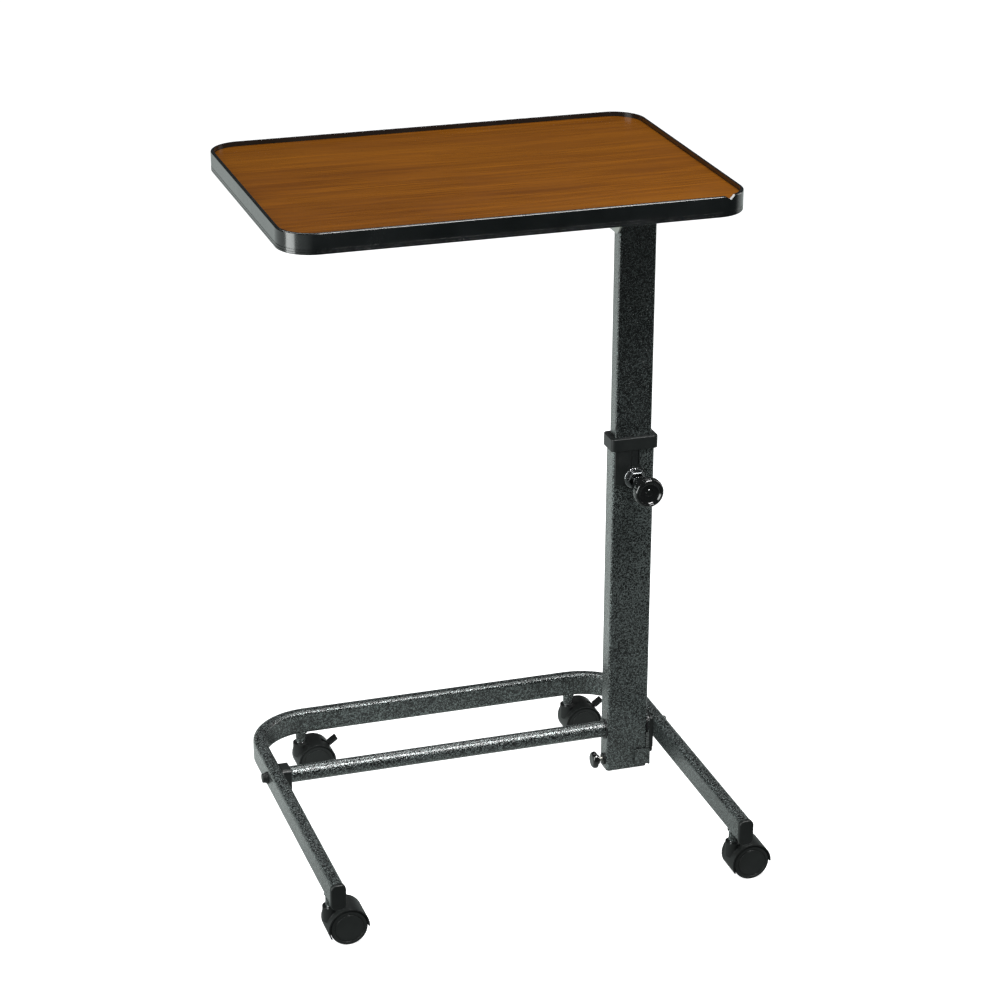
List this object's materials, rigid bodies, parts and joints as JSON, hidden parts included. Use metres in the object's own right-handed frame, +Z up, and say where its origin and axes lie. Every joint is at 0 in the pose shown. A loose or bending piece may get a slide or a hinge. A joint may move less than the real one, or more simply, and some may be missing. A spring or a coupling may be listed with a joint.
{
  "type": "overbed table",
  "caption": "Overbed table with a lipped wood-grain top on an offset telescoping mast, a fold-down foot and a U-shaped tubular base on twin-wheel casters.",
  "frame": {"origin": "middle of the footprint of the whole table at rest, on the floor", "axes": "+Z up; +X along the table top's long side towards the mast; -Y towards the open side of the U-shaped base"},
  "size_m": [0.6268, 0.5616, 0.927],
  "materials": {
    "laminate_face": "satin wood-grain laminate, grain along X",
    "board": "raw particle board",
    "backer": "matt backing sheet",
    "band_black": "gloss moulded edge",
    "zinc": "bright zinc plate",
    "nylon": "natural nylon",
    "hammered": "dark grey hammered vein paint",
    "black_plastic": "satin moulded plastic",
    "gloss_black": "gloss moulded plastic",
    "plated": "bright plated",
    "caster_black": "fine-textured moulded plastic",
    "wheel_black": "satin moulded nylon"
  },
  "bodies": {
    "base": {"base_frame": "hammered", "left_leg_cap": "black_plastic", "right_leg_cap": "black_plastic", "crossbar": "hammered", "bar_plugs": "black_plastic", "crossbar_screws": "black_plastic", "left_saddle": "black_plastic", "right_saddle": "black_plastic", "stop_bracket": "hammered", "caster_sockets": "hammered", "front_left_caster_stem": "plated", "front_right_caster_stem": "plated", "rear_left_caster_stem": "plated", "rear_right_caster_stem": "plated"},
    "mast": {"outer_mast": "hammered", "collar": "black_plastic", "pivot_bushes": "nylon", "clamp_nut": "zinc", "clamp_washer": "zinc", "plunger_housing": "black_plastic", "plunger_spring": "zinc"},
    "inner_mast": {"inner_mast": "hammered", "mast_cap": "black_plastic", "guide_shoe": "black_plastic", "pivot_bolt": "zinc", "pivot_nut": "zinc", "pivot_washers": "nylon", "pivot_spacer": "zinc"},
    "table_top": {"table_core": "board", "laminate": "laminate_face", "backer_sheet": "backer", "edge_band": "band_black", "tilt_bracket": "zinc", "bracket_screws": "zinc"},
    "clamp_pad": {"pressure_pad": "nylon"},
    "clamp_knob": {"clamp_screw": "zinc", "clamp_knob": "gloss_black"},
    "lock_plunger": {"plunger_pin": "zinc", "plunger_knob": "gloss_black"},
    "front_left_caster": {"front_left_caster_hood": "caster_black", "front_left_caster_axle": "plated"},
    "front_left_caster_outer_wheel": {"front_left_caster_outer_wheel": "wheel_black"},
    "front_left_caster_inner_wheel": {"front_left_caster_inner_wheel": "wheel_black"},
    "front_right_caster": {"front_right_caster_hood": "caster_black", "front_right_caster_axle": "plated"},
    "front_right_caster_outer_wheel": {"front_right_caster_outer_wheel": "wheel_black"},
    "front_right_caster_inner_wheel": {"front_right_caster_inner_wheel": "wheel_black"},
    "rear_left_caster": {"rear_left_caster_hood": "caster_black", "rear_left_caster_axle": "plated"},
    "rear_left_caster_outer_wheel": {"rear_left_caster_outer_wheel": "wheel_black"},
    "rear_left_caster_inner_wheel": {"rear_left_caster_inner_wheel": "wheel_black"},
    "rear_left_caster_brake_lever": {"rear_left_caster_brake_lever": "black_plastic"},
    "rear_right_caster": {"rear_right_caster_hood": "caster_black", "rear_right_caster_axle": "plated"},
    "rear_right_caster_outer_wheel": {"rear_right_caster_outer_wheel": "wheel_black"},
    "rear_right_caster_inner_wheel": {"rear_right_caster_inner_wheel": "wheel_black"},
    "rear_right_caster_brake_lever": {"rear_right_caster_brake_lever": "black_plastic"}
  },
  "joints": [
    {"name": "mast_fold", "type": "hinge", "parent": "base", "child": "mast", "pos_m": [0.22037, 0.06325, 0.085], "axis": [1, 0, 0], "range_deg": [0, 90]},
    {"name": "height_slide", "type": "slide", "parent": "mast", "child": "inner_mast", "axis": [0, 0, 1], "range_m": [-0.25, 0.06]},
    {"name": "table_tilt", "type": "hinge", "parent": "inner_mast", "child": "table_top", "pos_m": [0.22037, 0.06325, 0.864], "axis": [1, 0, 0], "range_deg": [-90, 35]},
    {"name": "clamp_pad_slide", "type": "slide", "parent": "mast", "child": "clamp_pad", "axis": [0, 1, 0], "range_m": [-0.003, 0]},
    {"name": "clamp_knob_turn", "type": "hinge", "parent": "clamp_pad", "child": "clamp_knob", "pos_m": [0.22037, 0.02325, 0.474], "axis": [0, 1, 0], "range_deg": [-720, 0]},
    {"name": "lock_plunger_slide", "type": "slide", "parent": "mast", "child": "lock_plunger", "axis": [1, 0, 0], "range_m": [0, 0.005]},
    {"name": "front_left_caster_swivel", "type": "hinge", "parent": "base", "child": "front_left_caster", "pos_m": [-0.29313, -0.23875, 0.04], "axis": [0, 0, 1], "continuous": true},
    {"name": "front_left_caster_outer_wheel_turn", "type": "hinge", "parent": "front_left_caster", "child": "front_left_caster_outer_wheel", "pos_m": [-0.27413, -0.23875, 0.025], "axis": [0, 1, 0], "continuous": true},
    {"name": "front_left_caster_inner_wheel_turn", "type": "hinge", "parent": "front_left_caster", "child": "front_left_caster_inner_wheel", "pos_m": [-0.27413, -0.23875, 0.025], "axis": [0, 1, 0], "continuous": true},
    {"name": "front_right_caster_swivel", "type": "hinge", "parent": "base", "child": "front_right_caster", "pos_m": [0.26687, -0.23875, 0.04], "axis": [0, 0, 1], "continuous": true},
    {"name": "front_right_caster_outer_wheel_turn", "type": "hinge", "parent": "front_right_caster", "child": "front_right_caster_outer_wheel", "pos_m": [0.28587, -0.23875, 0.025], "axis": [0, 1, 0], "continuous": true},
    {"name": "front_right_caster_inner_wheel_turn", "type": "hinge", "parent": "front_right_caster", "child": "front_right_caster_inner_wheel", "pos_m": [0.28587, -0.23875, 0.025], "axis": [0, 1, 0], "continuous": true},
    {"name": "rear_left_caster_swivel", "type": "hinge", "parent": "base", "child": "rear_left_caster", "pos_m": [-0.21613, 0.21725, 0.04], "axis": [0, 0, 1], "continuous": true},
    {"name": "rear_left_caster_outer_wheel_turn", "type": "hinge", "parent": "rear_left_caster", "child": "rear_left_caster_outer_wheel", "pos_m": [-0.19712, 0.21725, 0.025], "axis": [0, 1, 0], "continuous": true},
    {"name": "rear_left_caster_inner_wheel_turn", "type": "hinge", "parent": "rear_left_caster", "child": "rear_left_caster_inner_wheel", "pos_m": [-0.19712, 0.21725, 0.025], "axis": [0, 1, 0], "continuous": true},
    {"name": "rear_left_caster_brake", "type": "hinge", "parent": "rear_left_caster", "child": "rear_left_caster_brake_lever", "pos_m": [-0.1818, 0.21725, 0.03786], "axis": [0, 1, 0], "range_deg": [0, 15]},
    {"name": "rear_right_caster_swivel", "type": "hinge", "parent": "base", "child": "rear_right_caster", "pos_m": [0.18987, 0.21725, 0.04], "axis": [0, 0, 1], "continuous": true},
    {"name": "rear_right_caster_outer_wheel_turn", "type": "hinge", "parent": "rear_right_caster", "child": "rear_right_caster_outer_wheel", "pos_m": [0.20888, 0.21725, 0.025], "axis": [0, 1, 0], "continuous": true},
    {"name": "rear_right_caster_inner_wheel_turn", "type": "hinge", "parent": "rear_right_caster", "child": "rear_right_caster_inner_wheel", "pos_m": [0.20888, 0.21725, 0.025], "axis": [0, 1, 0], "continuous": true},
    {"name": "rear_right_caster_brake", "type": "hinge", "parent": "rear_right_caster", "child": "rear_right_caster_brake_lever", "pos_m": [0.2242, 0.21725, 0.03786], "axis": [0, 1, 0], "range_deg": [0, 15]}
  ],
  "couplings": [
    {"joint": "clamp_pad_slide", "follows": "clamp_knob_turn", "m_per_rad": 0.00023873}
  ]
}
